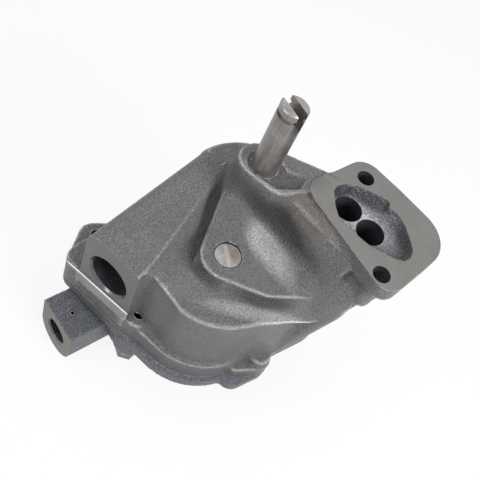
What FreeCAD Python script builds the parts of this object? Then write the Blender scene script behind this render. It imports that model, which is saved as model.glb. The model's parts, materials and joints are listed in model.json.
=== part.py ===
import FreeCAD, Part
import Sketcher
import math
import os

# Gear-type engine oil pump. Millimetres. The origin is where the drive shaft's axis
# crosses the plane of the mounting face, and +Z runs up the shaft to its slotted end.

doc = FreeCAD.newDocument("OilPump")

# Driving dimensions in millimetres and degrees, which the spreadsheet holds.
sizes = {
    "shaftRadius": 6.35,  # drive shaft, half inch bar
    "shaftRise": 37.5,  # shaft end above the mounting face
    "slotWidth": 4.8,  # tang slot in the shaft end
    "slotDepth": 10.0,  # depth of the tang slot
    "slotAngle": -108.0,  # plan direction of the slot
    "ringDrop": 3.0,  # shaft end down to the clip groove
    "ringWidth": 2.2,  # width of the clip groove
    "ringDepth": 0.9,  # depth of the clip groove
    "endChamfer": 0.6,  # shaft end chamfer
    "pinX": -27.77,  # idler pin from the drive shaft
    "pinY": -13.56,  # idler pin from the drive shaft
    "pinRadius": 6.35,  # idler pin
    "terraceDrop": 32.5,  # idler pin end and boss face below the mounting face
    "jointDrop": 95.5,  # cover joint below the mounting face
    "rimThick": 13.0,  # bolting rim of the body
    "coverThick": 7.0,  # cover plate
    "shoulderDrop": 42.5,  # flat shoulder of the gear case
    "domeDrop": 20.5,  # top of the case around the drive gear
    "caseRadius": 31.8,  # gear case wall
    "rimLedge": 2.2,  # bolting rim beyond the gear case wall
    "coverLedge": 2.4,  # cover edge beyond the bolting rim, on the idler side
    "gearTeeth": 7,  # teeth on each gear
    "gearLength": 42.0,  # face width of the gears
    "addendum": 0.82,  # tooth height above pitch circle, in modules
    "toothPlay": 0.16,  # flank taken off each tooth
    "pressureAngle": 30.0,  # pressure angle of the teeth
    "runGap": 0.04,  # radial running clearance
    "endGap": 0.05,  # gear end clearance, each end
    "tipGap": 0.12,  # gear tip to pocket wall
    "faceX": -62.4,  # pickup face
    "pickupY": 22.5,  # pickup bore axis
    "pickupDrop": 63.5,  # pickup bore axis below the mounting face
    "pickupRadius": 11.25,  # pickup bore
    "pickupDepth": 16.0,  # length of the pickup bore
    "flangeThick": 9.0,  # mounting flange
    "armLeanX": -15.0,  # foot of the outlet arm from its head
    "armLeanY": 18.5,  # foot of the outlet arm from its head
    "boltAX": 34.1,  # mounting hole at the far end
    "boltAY": -35.3,  # mounting hole at the far end
    "boltBX": -3.8,  # mounting hole at the near end
    "boltBY": -69.8,  # mounting hole at the near end
    "boltRadius": 4.2,  # mounting holes for 5/16 in bolts
    "cavityDepth": 7.0,  # outlet cavity in the mounting face
    "portRadius": 7.0,  # outlet ports
    "portAX": 17.1,  # outlet port beside the shaft
    "portAY": -39.2,  # outlet port beside the shaft
    "portBX": 15.1,  # second outlet port
    "portBY": -53.8,  # second outlet port
    "chamberTop": 80.0,  # ceiling of the outlet chamber below the mounting face
    "earRadius": 6.4,  # ears for the cover bolts
    "ear1X": -56.0,  # cover bolt beside the pickup face
    "ear1Y": 3.2,  # cover bolt beside the pickup face
    "ear2X": -41.0,  # cover bolt at the far corner
    "ear2Y": 50.0,  # cover bolt at the far corner
    "ear3X": -24.0,  # cover bolt on the idler side
    "ear3Y": -52.0,  # cover bolt on the idler side
    "ear4X": 29.0,  # cover bolt on the drive side
    "ear4Y": 25.0,  # cover bolt on the drive side
    "ear5X": 34.0,  # cover bolt under the flange
    "ear5Y": -33.0,  # cover bolt under the flange
    "coverBoltRadius": 3.1,  # cover bolt thread
    "tapRadius": 2.6,  # tapping hole above the bolt tip
    "boltFit": 0.05,  # bolt in its thread
    "boltClear": 0.4,  # bolt in the cover hole
    "boltBite": 9.5,  # thread in the body
    "washerThick": 1.6,  # lock washer
    "washerRadius": 6.0,  # lock washer
    "headRadius": 6.4,  # bolt head, centre to corner
    "headHigh": 4.4,  # bolt head height
    "reliefAngle": 167.5,  # plan direction of the relief bore
    "reliefOffset": -16.2,  # relief bore to the side of the drive shaft
    "reliefEnd": 84.0,  # relief boss end from the drive shaft
    "reliefDrop": 23.9,  # relief bore axis below the cover joint
    "reliefRadius": 7.2,  # relief bore
    "bossHalf": 13.5,  # half width of the relief boss
    "bossTopRise": 13.9,  # flat top of the relief boss above its bore axis
    "bossSag": 3.4,  # centre of the boss's round underside below its bore axis
    "seatStation": 30.0,  # valve seat from the drive shaft
    "valveLength": 24.0,  # relief valve
    "valveSkirt": 2.0,  # wall of the valve's skirt
    "valveCrown": 4.0,  # solid nose of the valve
    "feedRadius": 5.0,  # pressure feed hole
    "galleryDrop": 13.5,  # pressure gallery below the joint
    "galleryRadius": 3.5,  # pressure gallery and spill hole
    "galleryStation": 14.0,  # gallery from the drive shaft, along the relief bore
    "pinStation": 75.5,  # roll pin from the drive shaft
    "rollRadius": 1.55,  # roll pin
    "rollBore": 0.95,  # hollow of the roll pin
    "capLength": 4.0,  # spring cap
    "wireRadius": 0.75,  # spring wire
    "coilRadius": 4.1,  # spring, to the wire's centre
    "springTurns": 7,  # coils of the spring
    "bossNeck": 44.0,  # web between the relief boss and the cover plate
    "galleryStart": -30.0,  # closed end of the pressure gallery's boss
    "galleryLength": 50.0,  # pressure gallery's boss
    "galleryWall": 4.0,  # wall round the pressure gallery
    "footWebX": -50.5,  # web from the first bolt's seat to the relief boss
    "footWebY": 10.0,  # web from the first bolt's seat to the relief boss
}
sheet = doc.addObject("Spreadsheet::Sheet", "Sizes")
for row, (alias, number) in enumerate(sizes.items(), 1):
    sheet.set("A%d" % row, alias)
    sheet.set("B%d" % row, str(number))
    sheet.setAlias("B%d" % row, alias)
doc.recompute()


def value(text):
    number = sheet.evalExpression(text)
    return float(getattr(number, "Value", number))


def bind(obj, **settings):
    for name, text in settings.items():
        path = name.replace("_", ".")
        obj.setExpression(path, text)
    return obj


def cylinder(name, radius, height, x="0", y="0", z="0"):
    obj = doc.addObject("Part::Cylinder", name)
    bind(obj, Radius=radius, Height=height)
    bind(obj, Placement_Base_x=x, Placement_Base_y=y, Placement_Base_z=z)
    return obj


def cone(name, lower, upper, height, x="0", y="0", z="0"):
    obj = doc.addObject("Part::Cone", name)
    bind(obj, Radius1=lower, Radius2=upper, Height=height)
    bind(obj, Placement_Base_x=x, Placement_Base_y=y, Placement_Base_z=z)
    return obj


def box(name, length, width, height, x, y, z):
    obj = doc.addObject("Part::Box", name)
    bind(obj, Length=length, Width=width, Height=height)
    bind(obj, Placement_Base_x=x, Placement_Base_y=y, Placement_Base_z=z)
    return obj


def join(name, *parts):
    obj = doc.addObject("Part::MultiFuse", name)
    obj.Shapes = list(parts)
    return obj


def cut(name, base, *tools):
    obj = doc.addObject("Part::Cut", name)
    obj.Base = base
    obj.Tool = tools[0] if len(tools) == 1 else join(name + "Tools", *tools)
    return obj


# Sketch of the belt around discs (x, y, radius) given anticlockwise. A radius of "0" is a sharp corner.
def outline(name, discs):
    sketch = doc.addObject("Sketcher::SketchObject", name)
    placed = [(value(x), value(y), value(r)) for x, y, r in discs]
    count = len(placed)
    normals = []
    for i in range(count):
        ax, ay, ar = placed[i]
        bx, by, br = placed[(i + 1) % count]
        gap = math.hypot(bx - ax, by - ay)
        dx = (bx - ax) / gap
        dy = (by - ay) / gap
        along = (ar - br) / gap
        side = math.sqrt(1 - along * along)
        normals.append((dx * along + dy * side, dy * along - dx * side))
    for i in range(count):
        ax, ay, ar = placed[i]
        bx, by, br = placed[(i + 1) % count]
        nx, ny = normals[i]
        first = FreeCAD.Vector(ax + ar * nx, ay + ar * ny, 0)
        last = FreeCAD.Vector(bx + br * nx, by + br * ny, 0)
        sketch.addGeometry(Part.LineSegment(first, last), False)
    for i in range(count):
        x, y, r = placed[i]
        line = i
        before = (i - 1) % count
        if r == 0:
            sketch.addConstraint(Sketcher.Constraint("Coincident", before, 2, line, 1))
            held = (line, 1)
        else:
            start = math.atan2(normals[i - 1][1], normals[i - 1][0])
            end = math.atan2(normals[i][1], normals[i][0])
            while end <= start:
                end += 2 * math.pi
            circle = Part.Circle(FreeCAD.Vector(x, y, 0), FreeCAD.Vector(0, 0, 1), r)
            arc = sketch.addGeometry(Part.ArcOfCircle(circle, start, end), False)
            sketch.addConstraint(Sketcher.Constraint("Tangent", before, 2, arc, 1))
            sketch.addConstraint(Sketcher.Constraint("Tangent", arc, 2, line, 1))
            number = sketch.addConstraint(Sketcher.Constraint("Radius", arc, r))
            sketch.setExpression("Constraints[%d]" % number, discs[i][2])
            held = (arc, 3)
        number = sketch.addConstraint(Sketcher.Constraint("DistanceX", -1, 1, held[0], held[1], x))
        sketch.setExpression("Constraints[%d]" % number, discs[i][0])
        number = sketch.addConstraint(Sketcher.Constraint("DistanceY", -1, 1, held[0], held[1], y))
        sketch.setExpression("Constraints[%d]" % number, discs[i][1])
    return sketch


def pad(name, sketch, z, height):
    bind(sketch, Placement_Base_z=z)
    obj = doc.addObject("Part::Extrusion", name)
    obj.Base = sketch
    obj.DirMode = "Normal"
    obj.Solid = True
    bind(obj, LengthFwd=height)
    return obj


def blend(name, lower, lowerZ, upper, upperZ):
    bind(lower, Placement_Base_z=lowerZ)
    bind(upper, Placement_Base_z=upperZ)
    obj = doc.addObject("Part::Loft", name)
    obj.Sections = [lower, upper]
    obj.Solid = True
    obj.Ruled = True
    return obj


joint = "-Sizes.jointDrop"
rimRadius = "(Sizes.caseRadius + Sizes.rimLedge)"
pinX = "Sizes.pinX"
pinY = "Sizes.pinY"
centres = math.hypot(value("Sizes.pinX"), value("Sizes.pinY"))
teeth = int(value("Sizes.gearTeeth"))
module = centres / teeth
tipRadius = centres / 2 + module * value("Sizes.addendum")
gearTip = "sqrt(Sizes.pinX ^ 2 + Sizes.pinY ^ 2) * (0.5 + Sizes.addendum / Sizes.gearTeeth)"
pocketRadius = gearTip + " + Sizes.tipGap"
pocketHeight = "Sizes.gearLength + 2 * Sizes.endGap"

# Cover bolt places: name and the ear's centre.
ears = [(str(k), "Sizes.ear%dX" % k, "Sizes.ear%dY" % k) for k in range(1, 6)]

# Gear case: bolting rim, case wall, dome around the drive gear, pickup block.
rim = pad("Rim", outline("RimPlan", [
    ("0", "0", rimRadius),
    ("Sizes.ear2X", "Sizes.ear2Y - 1", "Sizes.earRadius + 1"),
    ("Sizes.ear1X", "45.0", "Sizes.earRadius"),
    ("Sizes.ear1X", "Sizes.ear1Y", "Sizes.earRadius"),
    (pinX, pinY, rimRadius),
    ("14", "-46.5", "16.8"),
]), joint, "Sizes.rimThick")
earBlocks = []
for name, x, y in ears:
    earBlocks.append(cylinder("Ear" + name, "Sizes.earRadius", "Sizes.rimThick", x, y, joint))
case = pad("Case", outline("CasePlan", [
    ("0", "0", "Sizes.caseRadius"),
    (pinX, pinY, "Sizes.caseRadius"),
    ("-17", "-46", "10"),
    ("14", "-47", "16.2"),
]), joint, "Sizes.jointDrop - Sizes.shoulderDrop")
domeWall = cylinder("DomeWall", "Sizes.caseRadius", "Sizes.jointDrop - Sizes.domeDrop - 4", "0", "0", joint)
domeTop = cone("DomeTop", "Sizes.caseRadius", "Sizes.caseRadius - 3", "4", "0", "0",
               "-Sizes.domeDrop - 4")
domeSide = box("DomeSide", "50", "100", "Sizes.jointDrop", "0.5", "-50", joint)
dome = doc.addObject("Part::Common", "Dome")
dome.Base = join("DomeRound", domeWall, domeTop)
dome.Tool = domeSide


# The same outline standing in the YZ plane at x, its discs given as y, z, radius.
def upright(name, x, discs):
    sketch = outline(name, discs)
    spin = FreeCAD.Rotation(FreeCAD.Vector(1, 1, 1), 120)
    sketch.Placement = FreeCAD.Placement(FreeCAD.Vector(0, 0, 0), spin)
    bind(sketch, Placement_Base_x=x)
    return sketch


pickup = doc.addObject("Part::Loft", "PickupBlock")
pickup.Sections = [
    upright("PickupFace", "Sizes.faceX", [
        ("5.8", "-88", "0"),
        ("39", "-88", "0"),
        ("31.5", "-Sizes.shoulderDrop - 7.5", "7.5"),
        ("5.8", "-Sizes.shoulderDrop", "0"),
        ("5.6", "-Sizes.shoulderDrop - 5", "0"),
    ]),
    upright("PickupRoot", "1", [
        ("-13.9", "-88", "0"),
        ("31.8", "-88", "0"),
        ("24.3", "-Sizes.domeDrop - 7.5", "7.5"),
        ("17.5", "-Sizes.domeDrop", "0"),
        ("-14", "-Sizes.shoulderDrop - 1", "0"),
    ]),
]
pickup.Solid = True
pickup.Ruled = True
scallop = cylinder("EarScallop", "5.6", "Sizes.jointDrop - Sizes.rimThick - Sizes.shoulderDrop + 1",
                   "Sizes.faceX + 2.0", "0.9", "-Sizes.jointDrop + Sizes.rimThick")

# Idler pin boss carried over to the shaft tower, the tower, the outlet arm and the flange.
terrace = pad("Terrace", outline("TerracePlan", [
    ("0", "0", "12.6"),
    (pinX, pinY, "13"),
    ("-22", "-34", "9.3"),
    ("-9", "-48", "8"),
    ("12", "-30", "10"),
]), "-Sizes.jointDrop + 40", "Sizes.jointDrop - Sizes.terraceDrop - 40")
skirtCone = cone("SkirtCone", "26", "13", "14", "0", "0", "-Sizes.terraceDrop - 0.5")
skirtPlan = pad("SkirtPlan", outline("SkirtOutline", [
    ("0", "0", "12.6"),
    (pinX, pinY, "13"),
    ("-22", "-34", "9.3"),
    ("14", "-30", "10"),
]), "-Sizes.terraceDrop - 5", "25")
skirt = doc.addObject("Part::Common", "TowerSkirt")
skirt.Base = skirtCone
skirt.Tool = skirtPlan
tower = blend("Tower", outline("TowerFoot", [
    ("0.3", "3", "13"),
    ("1.5", "-8.5", "13.5"),
    ("16", "-22", "9"),
]), "-Sizes.terraceDrop - 1", outline("TowerTop", [
    ("0.3", "3", "10"),
    ("1.5", "-8.5", "10.5"),
    ("16", "-22", "6"),
]), "-0.6")
armDiscs = [
    ("Sizes.boltAX", "Sizes.boltAY", "9"),
    ("12", "-30", "9"),
    ("Sizes.boltBX + 5", "Sizes.boltBY - 0.5", "7"),
    ("24", "-64", "15"),
    ("33.5", "-50", "8"),
]
armFeet = [(x + " + Sizes.armLeanX", y + " + Sizes.armLeanY", radius) for x, y, radius in armDiscs]
armHigh = "(Sizes.jointDrop - Sizes.rimThick + 1 - Sizes.flangeThick + 0.5)"
arm = pad("OutletArm", outline("ArmFoot", armFeet), "-Sizes.jointDrop + Sizes.rimThick - 1",
          "sqrt(Sizes.armLeanX ^ 2 + Sizes.armLeanY ^ 2 + %s ^ 2)" % armHigh)
arm.DirMode = "Custom"
bind(arm, Dir_x="-Sizes.armLeanX", Dir_y="-Sizes.armLeanY", Dir_z=armHigh)
flange = pad("Flange", outline("FlangePlan", [
    ("Sizes.boltAX", "Sizes.boltAY", "9.6"),
    ("12", "-30", "9.4"),
    ("Sizes.boltBX + 2.4", "Sizes.boltBY - 2.2", "7.8"),
    ("24", "-66", "17"),
    ("34", "-50", "8.8"),
]), "-Sizes.flangeThick", "Sizes.flangeThick")
flangeWaist = cylinder("FlangeWaist", "6", "Sizes.flangeThick + 2", "47.4", "-42.2",
                       "-Sizes.flangeThick - 1")
solid = join("Casting", rim, case, dome, pickup, terrace, skirt, tower, arm, flange, *earBlocks)

# Everything bored, drilled or cored out of the casting.
gearPocketA = cylinder("DrivePocket", pocketRadius, pocketHeight, "0", "0", joint)
gearPocketB = cylinder("IdlerPocket", pocketRadius, pocketHeight, pinX, pinY, joint)
shaftBore = cylinder("ShaftBore", "Sizes.shaftRadius + Sizes.runGap", "Sizes.jointDrop + 4", "0", "0",
                     joint)
pinBore = cylinder("PinBore", "Sizes.pinRadius", "Sizes.jointDrop - Sizes.terraceDrop + 1",
                   pinX, pinY, joint)
pinEdge = cone("PinEdge", "Sizes.pinRadius - 0.2", "Sizes.pinRadius + 0.9", "1.1", pinX, pinY,
               "-Sizes.terraceDrop - 1.05")
inlet = pad("InletChamber", outline("InletPlan", [
    ("-17", "13", "7"),
    ("-27", "20", "9.5"),
    ("-37", "20", "8"),
    ("-28", "6", "5"),
]), joint, "Sizes.jointDrop - Sizes.pickupDrop + 8")
pickupBore = cylinder("PickupBore", "Sizes.pickupRadius", "Sizes.pickupDepth + 2", "Sizes.faceX - 2",
                      "Sizes.pickupY", "-Sizes.pickupDrop")
pickupBore.Placement.Rotation = FreeCAD.Rotation(FreeCAD.Vector(0, 1, 0), 90)
pickupPassage = cylinder("PickupPassage", "Sizes.pickupRadius - 1.5", "34", "Sizes.faceX + 1",
                         "Sizes.pickupY", "-Sizes.pickupDrop")
pickupPassage.Placement.Rotation = FreeCAD.Rotation(FreeCAD.Vector(0, 1, 0), 90)
pickupEdge = cone("PickupEdge", "Sizes.pickupRadius + 1.3", "Sizes.pickupRadius - 0.2", "1.5",
                  "Sizes.faceX - 0.05", "Sizes.pickupY", "-Sizes.pickupDrop")
pickupEdge.Placement.Rotation = FreeCAD.Rotation(FreeCAD.Vector(0, 1, 0), 90)
outlet = pad("OutletChamber", outline("OutletPlan", [
    ("Sizes.portAX", "Sizes.portAY", "Sizes.portRadius"),
    ("-5", "-21", "6"),
    ("-10", "-27", "5"),
    ("Sizes.portBX", "Sizes.portBY", "Sizes.portRadius - 1"),
]), joint, "Sizes.jointDrop - Sizes.chamberTop")
cavity = pad("OutletCavity", outline("CavityPlan", [
    ("26.0", "-50.5", "6.6"),
    ("16.5", "-35.6", "6.6"),
    ("5.6", "-52", "6.4"),
    ("14.6", "-68.2", "6.2"),
    ("25.4", "-60", "6.2"),
]), "-Sizes.cavityDepth", "Sizes.cavityDepth + 1")
portHeight = "Sizes.chamberTop - Sizes.cavityDepth + 2"
portA = cylinder("PortA", "Sizes.portRadius", portHeight, "Sizes.portAX", "Sizes.portAY",
                 "-Sizes.chamberTop - 1")
portB = cylinder("PortB", "Sizes.portRadius", portHeight, "Sizes.portBX", "Sizes.portBY",
                 "-Sizes.chamberTop - 1")
holeA = cylinder("HoleA", "Sizes.boltRadius", "40", "Sizes.boltAX", "Sizes.boltAY", "-39")
holeB = cylinder("HoleB", "Sizes.boltRadius", "40", "Sizes.boltBX", "Sizes.boltBY", "-39")
drilled = []
for name, x, y in ears:
    drilled.append(cylinder("Thread" + name, "Sizes.coverBoltRadius + Sizes.boltFit",
                            "Sizes.boltBite + 0.5", x, y, joint))
    through = "1" if name in ("1", "2") else "-1.5"
    drilled.append(cylinder("Tap" + name, "Sizes.tapRadius", "Sizes.rimThick + " + through, x, y, joint))
body = cut("PumpBody", solid, flangeWaist, scallop, gearPocketA, gearPocketB, shaftBore, pinBore, pinEdge,
           inlet, pickupBore, pickupPassage, pickupEdge, outlet, cavity, portA, portB, holeA, holeB,
           *drilled)
body.Label = "pump_body"

# Cover with the relief valve's boss, which lies along the relief direction.
reliefZ = "(-Sizes.jointDrop - Sizes.reliefDrop)"
bossTopZ = "(-Sizes.jointDrop - Sizes.reliefDrop + Sizes.bossTopRise)"
bossRoundZ = "(-Sizes.jointDrop - Sizes.reliefDrop - Sizes.bossSag)"
bossLowZ = "(-Sizes.jointDrop - Sizes.reliefDrop - Sizes.bossSag - Sizes.bossHalf)"


def reliefPoint(station, across="Sizes.reliefOffset"):
    x = "(%s) * cos(Sizes.reliefAngle) - (%s) * sin(Sizes.reliefAngle)" % (station, across)
    y = "(%s) * sin(Sizes.reliefAngle) + (%s) * cos(Sizes.reliefAngle)" % (station, across)
    return x, y


# Lays a round solid's axis along the relief bore, from a station on it outwards.
def alongRelief(obj, station, z=reliefZ):
    angle = math.radians(value("Sizes.reliefAngle"))
    out = FreeCAD.Vector(math.cos(angle), math.sin(angle), 0)
    obj.Placement = FreeCAD.Placement(FreeCAD.Vector(0, 0, 0),
                                      FreeCAD.Rotation(FreeCAD.Vector(0, 0, 1), out))
    x, y = reliefPoint(station)
    bind(obj, Placement_Base_x=x, Placement_Base_y=y, Placement_Base_z=z)
    return obj


def reliefBox(name, start, length, halfWidth, low, height):
    x, y = reliefPoint(start, "Sizes.reliefOffset - (%s)" % halfWidth)
    obj = box(name, length, "2 * (%s)" % halfWidth, height, x, y, low)
    spin = FreeCAD.Rotation(FreeCAD.Vector(0, 0, 1), value("Sizes.reliefAngle"))
    obj.Placement.Rotation = spin
    return obj


def rod(name, radius, length):
    obj = doc.addObject("Part::Cylinder", name)
    bind(obj, Radius=radius, Height=length)
    return obj


coverLow = "-Sizes.jointDrop - Sizes.coverThick"
plate = pad("CoverPlate", outline("CoverPlan", [
    ("0", "0", rimRadius + " + 0.5"),
    ("Sizes.ear2X", "Sizes.ear2Y - 1", "Sizes.earRadius + 1.6"),
    ("Sizes.ear1X", "45.0", "Sizes.earRadius"),
    ("Sizes.ear1X", "Sizes.ear1Y - 3.2", "Sizes.earRadius + 2.2"),
    (pinX, pinY, rimRadius + " + Sizes.coverLedge"),
    ("14", "-46.5", "17.4"),
]), coverLow, "Sizes.coverThick")
coverEars = []
for name, x, y in ears[1:]:
    coverEars.append(cylinder("CoverEar" + name, "Sizes.earRadius + 1", "Sizes.coverThick", x, y,
                              coverLow))
footHigh = "Sizes.reliefDrop - 1"
footLow = reliefZ + " + 1"
boltFoot = cylinder("BoltFoot", "Sizes.earRadius", footHigh, "Sizes.ear1X", "Sizes.ear1Y", footLow)
boltFootWeb = cylinder("BoltFootWeb", "Sizes.earRadius + 4", footHigh,
                       "Sizes.footWebX", "Sizes.footWebY", footLow)
bossStart = "Sizes.galleryStation"
bossLength = "Sizes.reliefEnd - Sizes.galleryStation"
bossBlock = reliefBox("BossBlock", bossStart, bossLength, "Sizes.bossHalf", bossRoundZ,
                      "Sizes.bossSag + Sizes.bossTopRise")
bossRound = alongRelief(rod("BossRound", "Sizes.bossHalf", bossLength), bossStart, bossRoundZ)
bossNeck = reliefBox("BossNeck", bossStart, "Sizes.bossNeck", "Sizes.bossHalf", bossTopZ + " - 1",
                     "Sizes.reliefDrop - Sizes.bossTopRise")
galleryX, galleryY = reliefPoint(bossStart)
galleryZ = "-Sizes.jointDrop - Sizes.galleryDrop"
gallery = cylinder("GalleryBoss", "Sizes.galleryRadius + Sizes.galleryWall", "Sizes.galleryLength", galleryX,
                   "Sizes.galleryStart", galleryZ + " + 0.5")
gallery.Placement.Rotation = FreeCAD.Rotation(FreeCAD.Vector(-1, 0, 0), 90)
coverSolid = join("CoverCasting", plate, boltFoot, boltFootWeb, bossBlock, bossRound, bossNeck, gallery,
                  *coverEars)

reliefBore = alongRelief(rod("ReliefBore", "Sizes.reliefRadius", "Sizes.reliefEnd - Sizes.seatStation + 1"),
                         "Sizes.seatStation")
reliefEdge = doc.addObject("Part::Cone", "ReliefEdge")
bind(reliefEdge, Radius1="Sizes.reliefRadius - 0.2", Radius2="Sizes.reliefRadius + 0.8", Height="1")
alongRelief(reliefEdge, "Sizes.reliefEnd - 0.95")
feedHole = alongRelief(rod("FeedHole", "Sizes.feedRadius", "Sizes.seatStation - Sizes.galleryStation + 4"),
                       "Sizes.galleryStation - 3")
galleryHole = cylinder("GalleryHole", "Sizes.galleryRadius", "Sizes.galleryLength - Sizes.galleryWall - 0.5",
                       galleryX, "Sizes.galleryStart + Sizes.galleryWall", galleryZ)
galleryHole.Placement.Rotation = FreeCAD.Rotation(FreeCAD.Vector(-1, 0, 0), 90)
galleryDrop = cylinder("GalleryDrop", "Sizes.galleryRadius - 0.3",
                       "Sizes.reliefDrop - Sizes.galleryDrop", galleryX, galleryY, reliefZ)
galleryRise = cylinder("GalleryRise", "Sizes.galleryRadius - 0.3", "Sizes.galleryDrop + 1", galleryX,
                       "Sizes.galleryStart + Sizes.galleryWall * 2", galleryZ)
spillX, spillY = reliefPoint("Sizes.seatStation + 6")
spill = cylinder("SpillHole", "Sizes.galleryRadius", "Sizes.reliefDrop + 1", spillX, spillY, reliefZ)
rollX, rollY = reliefPoint("Sizes.pinStation")
rollHole = cylinder("RollPinHole", "Sizes.rollRadius", "40", rollX, rollY, bossTopZ + " - 39")
boltHoles = []
for name, x, y in ears:
    boltHoles.append(cylinder("CoverHole" + name, "Sizes.coverBoltRadius + Sizes.boltClear", "40", x, y,
                              "-Sizes.jointDrop - 39"))
coverCored = cut("CoverCored", coverSolid, feedHole, galleryHole)
coverBored = cut("CoverBored", coverCored, reliefBore, galleryDrop, galleryRise)
cover = cut("PumpCover", coverBored, reliefEdge, spill, rollHole, *boltHoles)
cover.Label = "pump_cover"

# Relief valve, spring, cap and the roll pin that holds the cap.
valveRod = alongRelief(rod("ValveRod", "Sizes.reliefRadius - Sizes.runGap", "Sizes.valveLength"),
                       "Sizes.seatStation")
valveHollow = alongRelief(rod("ValveHollow", "Sizes.reliefRadius - Sizes.valveSkirt",
                              "Sizes.valveLength"), "Sizes.seatStation + Sizes.valveCrown")
valve = cut("ReliefValve", valveRod, valveHollow)
valve.Label = "relief_valve"
capStation = "Sizes.pinStation - Sizes.rollRadius - Sizes.capLength - 0.02"
cap = alongRelief(rod("SpringCap", "Sizes.reliefRadius - 0.15", "Sizes.capLength"), capStation)
cap.Label = "spring_cap"
rollHigh = "Sizes.bossSag + Sizes.bossHalf + Sizes.bossTopRise - 1"
rollRod = cylinder("RollPinRod", "Sizes.rollRadius", rollHigh, rollX, rollY,
                   bossLowZ + " + 0.7")
rollCore = cylinder("RollPinCore", "Sizes.rollBore", rollHigh + " + 2", rollX, rollY,
                    bossLowZ + " - 0.3")
rollPin = cut("RollPin", rollRod, rollCore)
rollPin.Label = "roll_pin"

springStart = value("Sizes.seatStation + Sizes.valveCrown")
springEnd = value(capStation)
wire = value("Sizes.wireRadius")
springLong = springEnd - springStart - 2 * wire
coilRadius = value("Sizes.coilRadius")
bends = 10
count = bends * int(value("Sizes.springTurns"))
turning = [2 * math.pi * k / bends for k in range(count + 1)]
points = [FreeCAD.Vector(coilRadius * math.cos(a), coilRadius * math.sin(a), springLong * k / count)
          for k, a in enumerate(turning)]
corners = [FreeCAD.Vector(coilRadius + wire * math.cos(math.pi * k / 3), 0, wire * math.sin(math.pi * k / 3))
           for k in range(7)]
section = Part.makePolygon(corners)
coil = Part.makePolygon(points).makePipeShell([section], True, False, 1)
spring = doc.addObject("Part::Feature", "ReliefSpring")
spring.Shape = coil
alongRelief(spring, "Sizes.seatStation + Sizes.valveCrown + Sizes.wireRadius")
spring.Label = "relief_spring"

# Drive shaft and idler pin.
shaftLow = "-Sizes.jointDrop + Sizes.endGap"
shaftRod = cylinder("ShaftRod", "Sizes.shaftRadius",
                    "Sizes.jointDrop + Sizes.shaftRise - Sizes.endChamfer - Sizes.endGap", "0", "0",
                    shaftLow)
shaftTip = cone("ShaftTip", "Sizes.shaftRadius", "Sizes.shaftRadius - Sizes.endChamfer",
                "Sizes.endChamfer", "0", "0", "Sizes.shaftRise - Sizes.endChamfer")
ringLow = "Sizes.shaftRise - Sizes.ringDrop - Sizes.ringWidth"
ringOut = cylinder("RingOut", "Sizes.shaftRadius + 1", "Sizes.ringWidth", "0", "0", ringLow)
ringIn = cylinder("RingIn", "Sizes.shaftRadius - Sizes.ringDepth", "Sizes.ringWidth", "0", "0", ringLow)
ring = cut("ClipGroove", ringOut, ringIn)
slot = box("TangSlot", "20", "Sizes.slotWidth", "Sizes.slotDepth + 1",
           "-10 * cos(Sizes.slotAngle) + Sizes.slotWidth / 2 * sin(Sizes.slotAngle)",
           "-10 * sin(Sizes.slotAngle) - Sizes.slotWidth / 2 * cos(Sizes.slotAngle)",
           "Sizes.shaftRise - Sizes.slotDepth")
slot.Placement.Rotation = FreeCAD.Rotation(FreeCAD.Vector(0, 0, 1), value("Sizes.slotAngle"))
shaft = cut("DriveShaft", join("ShaftBar", shaftRod, shaftTip), ring, slot)
shaft.Label = "drive_shaft"
idlerPin = cylinder("IdlerShaft", "Sizes.pinRadius",
                    "Sizes.jointDrop - Sizes.terraceDrop - Sizes.endGap - 0.1", pinX, pinY, shaftLow)
idlerPin.Label = "idler_shaft"


# Gears: involute teeth, the idler's turned half a tooth so the pair is in mesh.
def gearShape(toothDirection, boreRadius):
    pitchR = centres / 2
    baseR = pitchR * math.cos(math.radians(value("Sizes.pressureAngle")))
    rootR = centres - tipRadius - 0.35
    opening = math.radians(value("Sizes.pressureAngle"))
    pitchRoll = math.tan(opening) - opening
    halfTooth = math.pi / (2 * teeth) - value("Sizes.toothPlay") / (2 * pitchR)

    def halfAngle(r):
        if r <= baseR:
            return halfTooth + pitchRoll
        a = math.acos(baseR / r)
        return halfTooth + pitchRoll - (math.tan(a) - a)

    def at(r, angle):
        return FreeCAD.Vector(r * math.cos(angle), r * math.sin(angle), 0)

    flankRadii = [baseR, (baseR + tipRadius) / 2, tipRadius]
    edges = []
    for i in range(teeth):
        mid = math.radians(toothDirection) + 2 * math.pi * i / teeth
        after = mid + 2 * math.pi / teeth
        rise = [at(r, mid - halfAngle(r)) for r in flankRadii]
        fall = [at(r, mid + halfAngle(r)) for r in reversed(flankRadii)]
        rootStart = at(rootR, mid - halfAngle(baseR) + 0.03)
        rootEnd = at(rootR, mid + halfAngle(baseR) - 0.03)
        nextRoot = at(rootR, after - halfAngle(baseR) + 0.03)
        edges.append(Part.makeLine(rootStart, rise[0]))
        edges.append(Part.Arc(*rise).toShape())
        edges.append(Part.Arc(rise[-1], at(tipRadius, mid), fall[0]).toShape())
        edges.append(Part.Arc(*fall).toShape())
        edges.append(Part.makeLine(fall[-1], rootEnd))
        edges.append(Part.Arc(rootEnd, at(rootR, mid + math.pi / teeth), nextRoot).toShape())
    loop = Part.Wire(Part.__sortEdges__(edges))
    blank = Part.Face(loop).extrude(FreeCAD.Vector(0, 0, value("Sizes.gearLength")))
    bore = Part.makeCylinder(boreRadius, value("Sizes.gearLength") + 2, FreeCAD.Vector(0, 0, -1))
    return blank.cut(bore)


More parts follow.
